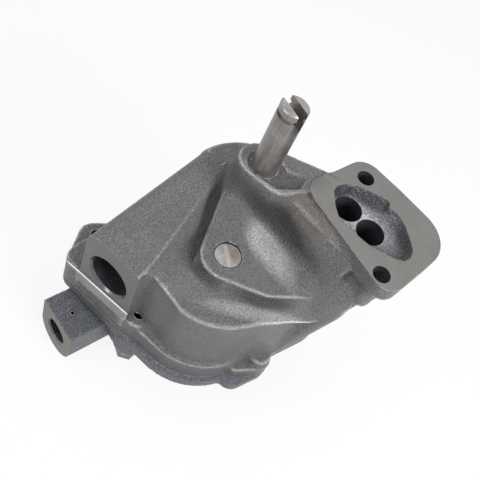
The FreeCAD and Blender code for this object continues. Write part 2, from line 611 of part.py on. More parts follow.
meshAngle = math.degrees(math.atan2(value("Sizes.pinY"), value("Sizes.pinX")))
driveGear = doc.addObject("Part::Feature", "DriveGear")
driveGear.Shape = gearShape(meshAngle, value("Sizes.shaftRadius"))
bind(driveGear, Placement_Base_z=shaftLow)
driveGear.Label = "drive_gear"
idlerGear = doc.addObject("Part::Feature", "IdlerGear")
idlerGear.Shape = gearShape(meshAngle + 180 + 180.0 / teeth, value("Sizes.pinRadius + Sizes.runGap"))
bind(idlerGear, Placement_Base_x=pinX, Placement_Base_y=pinY, Placement_Base_z=shaftLow)
idlerGear.Label = "idler_gear"

# Cover bolts with lock washers, the first one longer because its seat is on the boss.
finished = [body, cover, shaft, driveGear, idlerPin, idlerGear, valve, spring, cap, rollPin]
for name, x, y in ears:
    seat = footLow if name == "1" else coverLow
    reach = "Sizes.jointDrop + " + ("Sizes.reliefDrop - 1" if name == "1" else "Sizes.coverThick")
    washerLow = seat + " - Sizes.washerThick"
    shank = cylinder("BoltShank" + name, "Sizes.coverBoltRadius",
                     reach + " + Sizes.washerThick - Sizes.jointDrop + Sizes.boltBite", x, y, washerLow)
    head = doc.addObject("Part::Prism", "BoltHead" + name)
    head.Polygon = 6
    bind(head, Circumradius="Sizes.headRadius", Height="Sizes.headHigh")
    bind(head, Placement_Base_x=x, Placement_Base_y=y, Placement_Base_z=washerLow + " - Sizes.headHigh")
    bolt = join("CoverBolt" + name, shank, head)
    bolt.Label = "cover_bolt_" + name
    disc = cylinder("WasherDisc" + name, "Sizes.washerRadius", "Sizes.washerThick", x, y, washerLow)
    eye = cylinder("WasherEye" + name, "Sizes.coverBoltRadius + 0.15", "Sizes.washerThick + 2", x, y,
                   washerLow + " - 1")
    split = box("WasherSplit" + name, "8", "1.0", "Sizes.washerThick + 2", x, y + " - 0.5",
                washerLow + " - 1")
    washer = cut("LockWasher" + name, disc, eye, split)
    washer.Label = "lock_washer_" + name
    finished.append(bolt)
    finished.append(washer)

doc.recompute()
for obj in doc.Objects:
    if "Invalid" in obj.State or "Error" in obj.State:
        raise RuntimeError("%s did not build" % obj.Name)
os.makedirs("parts", exist_ok=True)
for obj in finished:
    if obj.Shape.isNull() or not obj.Shape.isValid():
        raise RuntimeError("%s is not a valid solid" % obj.Label)
    obj.Shape.exportStep("parts/%s.step" % obj.Label)
    print(obj.Label, len(obj.Shape.Solids), round(obj.Shape.Volume, 1))
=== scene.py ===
import json
import math

import bpy
import numpy as np
from mathutils import Matrix, Vector

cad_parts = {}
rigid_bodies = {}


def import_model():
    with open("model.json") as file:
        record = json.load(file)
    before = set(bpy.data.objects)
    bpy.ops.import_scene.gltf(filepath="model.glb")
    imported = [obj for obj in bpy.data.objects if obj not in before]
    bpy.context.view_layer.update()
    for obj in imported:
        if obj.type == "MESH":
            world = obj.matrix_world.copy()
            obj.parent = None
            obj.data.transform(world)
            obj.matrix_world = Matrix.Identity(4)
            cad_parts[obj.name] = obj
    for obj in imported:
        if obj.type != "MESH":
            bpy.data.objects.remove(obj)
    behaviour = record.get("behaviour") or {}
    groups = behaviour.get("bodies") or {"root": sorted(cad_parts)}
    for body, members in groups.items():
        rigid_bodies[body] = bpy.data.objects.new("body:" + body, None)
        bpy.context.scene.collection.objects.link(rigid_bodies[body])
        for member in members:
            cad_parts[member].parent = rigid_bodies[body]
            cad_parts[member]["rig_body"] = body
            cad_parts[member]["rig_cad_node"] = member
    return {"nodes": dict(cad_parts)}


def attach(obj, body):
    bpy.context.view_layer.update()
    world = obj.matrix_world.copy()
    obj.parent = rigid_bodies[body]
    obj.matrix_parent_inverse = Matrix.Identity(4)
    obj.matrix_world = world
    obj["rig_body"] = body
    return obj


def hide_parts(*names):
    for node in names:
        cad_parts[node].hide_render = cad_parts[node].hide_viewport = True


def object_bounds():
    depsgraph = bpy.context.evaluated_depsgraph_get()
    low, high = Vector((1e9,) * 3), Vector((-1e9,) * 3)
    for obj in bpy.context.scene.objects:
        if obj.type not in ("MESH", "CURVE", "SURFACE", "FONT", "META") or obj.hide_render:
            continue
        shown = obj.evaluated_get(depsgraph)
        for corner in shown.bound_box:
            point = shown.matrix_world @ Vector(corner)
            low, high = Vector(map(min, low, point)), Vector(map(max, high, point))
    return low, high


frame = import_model()
nodes = frame["nodes"]
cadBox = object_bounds()
mm = 0.001
print("frame loaded")

# Small helpers


def pick(*things):
    if bpy.context.mode != "OBJECT":
        bpy.ops.object.mode_set(mode="OBJECT")
    bpy.ops.object.select_all(action="DESELECT")
    for thing in things:
        thing.select_set(True)
    if things:
        bpy.context.view_layer.objects.active = things[0]


def settle(piece, name):
    pick(piece)
    bpy.ops.object.transform_apply(location=True, rotation=True, scale=True)
    piece.name = name
    return piece


def gather(name, pieces):
    pick(*pieces)
    if len(pieces) > 1:
        bpy.ops.object.join()
    return settle(bpy.context.object, name)


def useModifier(piece, kind, **settings):
    step = piece.modifiers.new(kind.lower(), kind)
    for key, setting in settings.items():
        setattr(step, key, setting)
    pick(piece)
    bpy.ops.object.modifier_apply(modifier=step.name)
    return piece


def wrapUp(piece):
    bpy.ops.object.mode_set(mode="EDIT")
    bpy.ops.mesh.select_all(action="SELECT")
    bpy.ops.mesh.convex_hull()
    bpy.ops.mesh.select_all(action="SELECT")
    bpy.ops.mesh.quads_convert_to_tris()
    bpy.ops.object.mode_set(mode="OBJECT")
    return piece


# A skin stretched over discs (x, y, radius, z), all in millimetres.
def stretch(name, discs, finish=None, sides=40):
    pick()
    rings = []
    for x, y, radius, z in discs:
        bpy.ops.mesh.primitive_circle_add(
            vertices=sides, radius=radius * mm, location=(x * mm, y * mm, z * mm))
        rings.append(bpy.context.object)
    piece = wrapUp(gather(name, rings))
    if finish:
        piece.data.materials.append(finish)
    return piece


# The same plan of discs (x, y, radius) between two heights.
def slab(name, plan, low, high, finish=None):
    return stretch(name, [(x, y, r, z) for z in (low, high) for x, y, r in plan], finish)


# A straight round bar between two points, thinner or wider at its end if told so.
def bar(name, start, end, radius, endRadius=None, finish=None, sides=64):
    pick()
    first = Vector(start) * mm
    last = Vector(end) * mm
    way = last - first
    endRadius = radius if endRadius is None else endRadius
    bpy.ops.mesh.primitive_cone_add(
        vertices=sides, radius1=radius * mm, radius2=endRadius * mm, depth=way.length,
        end_fill_type="TRIFAN", location=(first + last) / 2,
        rotation=way.to_track_quat("Z", "Y").to_euler())
    piece = settle(bpy.context.object, name)
    if finish:
        piece.data.materials.append(finish)
    return piece


# A bar that stands upright at (x, y).
def post(name, spot, low, high, radius, finish=None, sides=64):
    return bar(name, (*spot, low), (*spot, high), radius, finish=finish, sides=sides)


def carve(piece, tool, operation="DIFFERENCE"):
    useModifier(piece, "BOOLEAN", operation=operation, object=tool, solver="MANIFOLD")
    bpy.data.objects.remove(tool)
    return piece


def unite(name, tools):
    whole = tools[0]
    for tool in tools[1:]:
        carve(whole, tool, "UNION")
    whole.name = name
    return whole


# Saws the piece flat and keeps what is behind the plane, the new face in the given finish.
def saw(piece, point, facing, finishNumber):
    pick(piece)
    bpy.ops.object.mode_set(mode="EDIT")
    bpy.ops.mesh.select_mode(type="FACE")
    bpy.ops.mesh.select_all(action="SELECT")
    bpy.ops.mesh.bisect(
        plane_co=Vector(point) * mm, plane_no=facing, use_fill=True, clear_outer=True, threshold=1e-7)
    bpy.ops.object.mode_set(mode="OBJECT")
    across = Vector(facing)
    for face in piece.data.polygons:
        height = (face.center - Vector(point) * mm).dot(across)
        if face.normal.dot(across) > 0.999 and abs(height) < 1e-6:
            face.material_index = finishNumber
    return piece


def copyNode(node, name):
    pick(nodes[node])
    bpy.ops.object.duplicate()
    piece = bpy.context.object
    piece.parent = None
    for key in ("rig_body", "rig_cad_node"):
        if key in piece:
            del piece[key]
    piece.name = name
    piece.data.materials.clear()
    bpy.ops.object.mode_set(mode="EDIT")
    bpy.ops.mesh.select_all(action="SELECT")
    bpy.ops.mesh.remove_doubles(threshold=0.00001)
    bpy.ops.object.mode_set(mode="OBJECT")
    return piece


# Rounds the piece a little everywhere and more inside soft spots (x, y, z, reach, extra passes).
def soften(piece, passes, spots=()):
    levels = 8
    middle = 1.4  # share at a spot's middle, before it is capped at one
    useModifier(piece, "SMOOTH", factor=0.5, iterations=passes)
    count = len(piece.data.vertices)
    for x, y, z, reach, extra in spots:
        places = np.empty(count * 3, np.float32)
        piece.data.vertices.foreach_get("co", places)
        away = np.linalg.norm(places.reshape(-1, 3) / mm - (x, y, z), axis=1) / reach
        share = np.clip(middle - middle * away, 0, 1)
        group = piece.vertex_groups.new(name="softSpot")
        for level in range(1, levels + 1):
            chosen = np.nonzero(np.round(share * levels) == level)[0].tolist()
            if chosen:
                group.add(chosen, level / levels, "REPLACE")
        useModifier(piece, "SMOOTH", factor=0.5, iterations=extra, vertex_group="softSpot")
        piece.vertex_groups.clear()
    return piece


# Smooth shading but for real corners, then the body and the nodes that the piece stands for; the slot name is
# not used.
def finishAs(piece, body, slotName, *replaced):
    corner = 38  # degrees from which an edge stays sharp
    pick(piece)
    bpy.ops.object.shade_smooth_by_angle(angle=math.radians(corner))
    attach(piece, body)
    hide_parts(*replaced)
    return piece


# Materials

white = (1.0, 1.0, 1.0)


def newMaterial(name):
    material = bpy.data.materials.new(name)
    material.use_nodes = True
    tree = material.node_tree
    shader = tree.nodes["Principled BSDF"]
    place = tree.nodes.new("ShaderNodeTexCoord").outputs["Object"]
    return material, tree, shader, place


def addNoise(tree, place, scale, detail=2.0, roughness=0.5):
    noise = tree.nodes.new("ShaderNodeTexNoise")
    noise.inputs["Scale"].default_value = scale
    noise.inputs["Detail"].default_value = detail
    noise.inputs["Roughness"].default_value = roughness
    tree.links.new(place, noise.inputs["Vector"])
    return noise.outputs["Fac"]


def addMapping(tree, place, kind, location, rotation, scale):
    mapping = tree.nodes.new("ShaderNodeMapping")
    mapping.vector_type = kind
    mapping.inputs["Location"].default_value = location
    mapping.inputs["Rotation"].default_value = rotation
    mapping.inputs["Scale"].default_value = scale
    tree.links.new(place, mapping.inputs["Vector"])
    return mapping.outputs["Vector"]


def addRamp(tree, factor, stops):
    ramp = tree.nodes.new("ShaderNodeValToRGB")
    tree.links.new(factor, ramp.inputs["Fac"])
    while len(ramp.color_ramp.elements) < len(stops):
        ramp.color_ramp.elements.new(0.5)
    for element, (position, colour) in zip(ramp.color_ramp.elements, stops):
        element.position = position
        element.color = (*colour, 1)
    return ramp.outputs["Color"]


def multiplyColours(tree, share, first, second):
    mix = tree.nodes.new("ShaderNodeMix")
    mix.data_type = "RGBA"
    mix.blend_type = "MULTIPLY"
    mix.inputs["Factor"].default_value = share
    tree.links.new(first, mix.inputs["A"])
    tree.links.new(second, mix.inputs["B"])
    return mix.outputs["Result"]


# The roughness runs from one gloss number to the other over the middle of a noise.
def setRoughness(tree, shader, source, gloss):
    spread = tree.nodes.new("ShaderNodeMapRange")
    tree.links.new(source, spread.inputs["Value"])
    for key, number in (("From Min", 0.3), ("From Max", 0.7), ("To Min", gloss[0]), ("To Max", gloss[1])):
        spread.inputs[key].default_value = number
    tree.links.new(spread.outputs["Result"], shader.inputs["Roughness"])


# Bumps on bumps, each as (height, strength, distance in metres).
def addBump(tree, shader, layers):
    normal = None
    for height, strength, distance in layers:
        bump = tree.nodes.new("ShaderNodeBump")
        bump.inputs["Strength"].default_value = strength
        bump.inputs["Distance"].default_value = distance
        tree.links.new(height, bump.inputs["Height"])
        if normal:
            tree.links.new(normal, bump.inputs["Normal"])
        normal = bump.outputs["Normal"]
    tree.links.new(normal, shader.inputs["Normal"])


# Patches of painted shade and painted light, and a few real stains: centre and reach in millimetres, turn in
# degrees, then the tint.
def addPaintedShadeLightAndStains(tree, place, colour, paintedShadeLightAndStains):
    for centre, turn, reach, tint in paintedShadeLightAndStains:
        spot = addMapping(tree, place, "TEXTURE", [number * mm for number in centre],
                          [math.radians(number) for number in turn], [number * mm for number in reach])
        ball = tree.nodes.new("ShaderNodeTexGradient")
        ball.gradient_type = "SPHERICAL"
        tree.links.new(spot, ball.inputs["Vector"])
        patch = addRamp(tree, ball.outputs["Fac"], [(0.02, white), (0.55, tint)])
        colour = multiplyColours(tree, 1.0, colour, patch)
    return colour


# noise scales per metre and the heights of bumps in metres
castPattern = {
    "patch": 75, "stain": 20, "lumps": 240, "lumpHeight": 0.0012, "grainHeight": 0.0016,
    "cloudDark": (0.90, 0.90, 0.92), "cloudLight": (1.07, 1.06, 1.04),
}
cutPattern = {"patch": 90, "speck": 900, "height": 0.0002, "speckBump": 0.15, "dot": (0.75, 0.74, 0.72)}


# Sand-cast iron: grains under a millimetre, cloudy patches, a trace of brown, convex edges lighter as wear
# and a painted highlight, concave hollows darker as painted shade.
def castIron(name, look):
    material, tree, shader, place = newMaterial(name)
    grain = addNoise(tree, place, look["grain"], 2.0, 0.6)
    patch = addNoise(tree, place, castPattern["patch"], 3.0, 0.6)
    stain = addNoise(tree, place, castPattern["stain"])
    base = addRamp(tree, grain, [(0.28, look["dark"]), (0.50, look["middle"]), (0.72, look["light"])])
    cloud = addRamp(tree, patch, [(0.3, castPattern["cloudDark"]), (0.7, castPattern["cloudLight"])])
    colour = multiplyColours(tree, 1.0, base, cloud)
    brown = addRamp(tree, stain, [(0.46, white), (0.66, look["stain"])])
    colour = multiplyColours(tree, 0.9, colour, brown)
    colour = addPaintedShadeLightAndStains(tree, place, colour, look.get("paintedShadeLightAndStains", []))
    # Pointiness paints a highlight, with some wear, on convex edges and painted shade in concave hollows.
    edge = tree.nodes.new("ShaderNodeNewGeometry").outputs["Pointiness"]
    edgeWearLightShade = addRamp(tree, edge, [(0.44, look["hollow"]), (0.485, white), (0.510, white),
                                (0.555, look["edgeWearHighlight"])])
    colour = multiplyColours(tree, 1.0, colour, edgeWearLightShade)
    tree.links.new(colour, shader.inputs["Base Color"])
    shader.inputs["Metallic"].default_value = look["metal"]
    setRoughness(tree, shader, grain, look["gloss"])
    lumps = addNoise(tree, place, castPattern["lumps"])
    addBump(tree, shader, [(lumps, look["lumps"], castPattern["lumpHeight"]),
                           (grain, look["bump"], castPattern["grainHeight"])])
    return material


# Milled, ground or drilled metal with fine tool lines along one direction.
def cutMetal(name, look):
    material, tree, shader, place = newMaterial(name)
    along = addMapping(tree, place, "POINT", (0, 0, 0), look.get("turn", (0, 0, 0)), look["lines"])
    lines = addNoise(tree, along, 1.0, 3.0, 0.6)
    patch = addNoise(tree, place, cutPattern["patch"], 4.0, 0.62)
    speck = addNoise(tree, place, cutPattern["speck"])
    base = addRamp(tree, lines, [(0.3, look["dark"]), (0.7, look["light"])])
    cloud = addRamp(tree, patch, [(0.32, look["cloud"]), (0.62, white)])
    colour = multiplyColours(tree, 0.9, base, cloud)
    dots = addRamp(tree, speck, [(0.28, cutPattern["dot"]), (0.36, white)])
    colour = multiplyColours(tree, 0.7, colour, dots)
    colour = addPaintedShadeLightAndStains(tree, place, colour, look.get("paintedShadeLightAndStains", []))
    tree.links.new(colour, shader.inputs["Base Color"])
    shader.inputs["Metallic"].default_value = look["metal"]
    setRoughness(tree, shader, patch, look["gloss"])
    addBump(tree, shader, [(lines, look["bump"], cutPattern["height"]),
                           (speck, cutPattern["speckBump"], cutPattern["height"])])
    return material


bodyCast = castIron("bodyCast", {
    "grain": 1400,
    "dark": (0.090, 0.090, 0.093), "middle": (0.148, 0.148, 0.150), "light": (0.245, 0.245, 0.248),
    # the hollow tint is painted shade in concave hollows; the edge tint is a painted highlight with some wear
    "stain": (1.0, 0.97, 0.93), "hollow": (0.5, 0.5, 0.52), "edgeWearHighlight": (3.2, 3.2, 3.22),
    "metal": 0.3, "gloss": (0.42, 0.26), "lumps": 0.10, "bump": 0.95,
    "paintedShadeLightAndStains": [
        ((-48, -8, -42.5), (0, 0, 55), (10, 26, 5), (1.12, 1.12, 1.12)),  # flat by the scallop
        # painted highlight along the ramp
        ((-12, -20, -28.5), (0, 0, -12), (7.5, 36, 9), (2.5, 2.5, 2.52)),  # ramp
        # painted shade in the valley above the ramp
        ((-6.5, -18, -14.5), (14, 0, 0), (8.5, 40, 9.5), (0.26, 0.26, 0.28)),  # valley above it
        # painted shade along the trench, over this line and the next
        ((-13, 9, -29), (0, -30, 30), (24, 4.6, 6), (0.52, 0.52, 0.52)),  # trench
        ((-31, 0, -39), (0, -15, 30), (14, 5, 5), (0.52, 0.52, 0.52)),
        # painted shade at the foot of the terrace
        ((-30.2, -39.6, -36.8), (0, 0, -55), (27, 4.6, 4.2), (0.42, 0.42, 0.43)),  # foot of the terrace
        # painted shade round the end of the pad
        ((-40.5, -12, -38), (0, 0, 0), (4, 13, 5), (0.5, 0.5, 0.5)),
        # painted highlight on the band below the foot
        ((-34.0, -41.1, -42.5), (0, 0, -55), (34, 5.2, 3.6), (2.0, 2.0, 2.02)),  # band below the foot
        # painted shade in the dish
        ((1, -12, -2), (0, 0, -60), (14, 7, 3), (0.68, 0.68, 0.7)),  # dish
        ((2, -32, -8), (0, 0, 0), (12, 20, 12), (1.1, 1.0, 0.92)),  # brown of the arm
        # painted light that lifts the shade in the scallop
        ((-57, -2, -62), (0, 0, 0), (9, 13, 26), (1.3, 1.3, 1.3)),  # scallop
    ],
})
coverCast = castIron("coverCast", {
    "grain": 1400,
    "dark": (0.055, 0.058, 0.066), "middle": (0.105, 0.111, 0.124), "light": (0.25, 0.26, 0.28),
    # the hollow tint is painted shade in concave hollows; the edge tint is a painted highlight with some wear
    "stain": (0.92, 0.94, 0.98), "hollow": (0.6, 0.6, 0.62), "edgeWearHighlight": (1.4, 1.4, 1.42),
    "metal": 0.2, "gloss": (0.46, 0.30), "lumps": 0.15, "bump": 1.0,
})
cavityCast = castIron("cavityCast", {
    "grain": 1000,
    "dark": (0.11, 0.114, 0.124), "middle": (0.175, 0.18, 0.192), "light": (0.30, 0.305, 0.32),
    # the hollow tint is painted shade in concave hollows; the edge tint is a painted highlight with some wear
    "stain": (0.9, 0.92, 0.98), "hollow": (0.6, 0.6, 0.62), "edgeWearHighlight": (1.3, 1.3, 1.32),
    "metal": 0.2, "gloss": (0.46, 0.30), "lumps": 0.15, "bump": 1.0,
    "paintedShadeLightAndStains": [
        # painted shade on three walls of the cavity
        ((21, -31, -3.6), (0, 0, -20), (12, 5, 4.5), (0.34, 0.34, 0.36)),  # three dark walls
        ((29.5, -46, -3.6), (0, 0, 15), (4.5, 20, 4.5), (0.34, 0.34, 0.36)),
        ((23, -68, -3.6), (0, 0, 50), (12, 4.5, 4.5), (0.5, 0.5, 0.52)),
        # painted light on the cavity's floor
        ((17, -48, -5.4), (0, 0, 0), (9, 18, 3), (1.7, 1.7, 1.72)),  # floor
    ],
})
milledFace = cutMetal("milledFace", {
    "lines": (300, 2600, 300), "turn": (0, 0, 0.6),
    "dark": (0.142, 0.139, 0.133), "light": (0.178, 0.175, 0.168), "cloud": (0.88, 0.87, 0.85),
    "metal": 0.35, "gloss": (0.42, 0.55), "bump": 0.15,
})
milledEdge = cutMetal("milledEdge", {
    "lines": (300, 2600, 300), "turn": (0, 0, 0.2),
    "dark": (0.10, 0.10, 0.102), "light": (0.14, 0.14, 0.143), "cloud": (0.8, 0.8, 0.8),
    "metal": 0.35, "gloss": (0.35, 0.5), "bump": 0.15,
    # painted highlight line along the pickup face's edge
    "paintedShadeLightAndStains": [((-62.4, 22.5, -79), (0, 0, 0), (0.8, 90, 40), (4.4, 4.4, 4.4))],  # bright line
})
boredIron = cutMetal("boredIron", {
    "lines": (2500, 300, 2500),
    "dark": (0.10, 0.104, 0.115), "light": (0.19, 0.195, 0.205), "cloud": (0.6, 0.62, 0.66),
    "metal": 0.75, "gloss": (0.2, 0.34), "bump": 0.3,
    "paintedShadeLightAndStains": [((-56, 3.2, -79), (0, 0, 0), (6, 6, 8), (0.2, 0.2, 0.2))],  # painted shade, with some oil, down the threaded hole of ear 1
})
groundSteel = cutMetal("groundSteel", {
    "lines": (1500, 1500, 120),
    "dark": (0.23, 0.222, 0.216), "light": (0.36, 0.35, 0.343), "cloud": (0.66, 0.62, 0.58),
    "metal": 0.8, "gloss": (0.3, 0.45), "bump": 0.2,
})
pinSteel = cutMetal("pinSteel", {
    "lines": (500, 500, 500),
    "dark": (0.25, 0.25, 0.25), "light": (0.34, 0.34, 0.34), "cloud": (0.80, 0.76, 0.72),
    "metal": 0.6, "gloss": (0.3, 0.45), "bump": 0.3,
    "paintedShadeLightAndStains": [
        # painted highlight streak and the lighter area round it, a painted reflection on the turned pin
        ((-27.9, -13.3, -32), (0, 0, 51), (8.5, 1.4, 8), (1.45, 1.45, 1.45)),  # bright streak
        ((-29.5, -10.5, -32), (0, 0, 51), (6, 5, 8), (1.15, 1.15, 1.15)),
        ((-24.8, -16.2, -32), (0, 0, 51), (5.5, 3.0, 8), (0.85, 0.72, 0.62)),  # brown side
    ],
})
boltSteel = cutMetal("boltSteel", {
    "lines": (900, 900, 900),
    "dark": (0.12, 0.12, 0.125), "light": (0.24, 0.24, 0.25), "cloud": (0.7, 0.68, 0.66),
    "metal": 0.8, "gloss": (0.35, 0.5), "bump": 0.25,
    "paintedShadeLightAndStains": [
        # painted shade on the bolt ends deep in ears 1 and 2
        ((-56, 3.2, -83), (0, 0, 0), (8, 8, 8), (0.1, 0.1, 0.1)),  # bolt ends deep in ears 1 and 2
        ((-41, 50, -83), (0, 0, 0), (8, 8, 8), (0.1, 0.1, 0.1)),
    ],
})
springSteel = cutMetal("springSteel", {
    "lines": (700, 700, 700),
    "dark": (0.2, 0.2, 0.21), "light": (0.36, 0.36, 0.37), "cloud": (0.8, 0.78, 0.74),
    "metal": 0.9, "gloss": (0.3, 0.42), "bump": 0.15,
})
print("materials made")

# Pump body casting

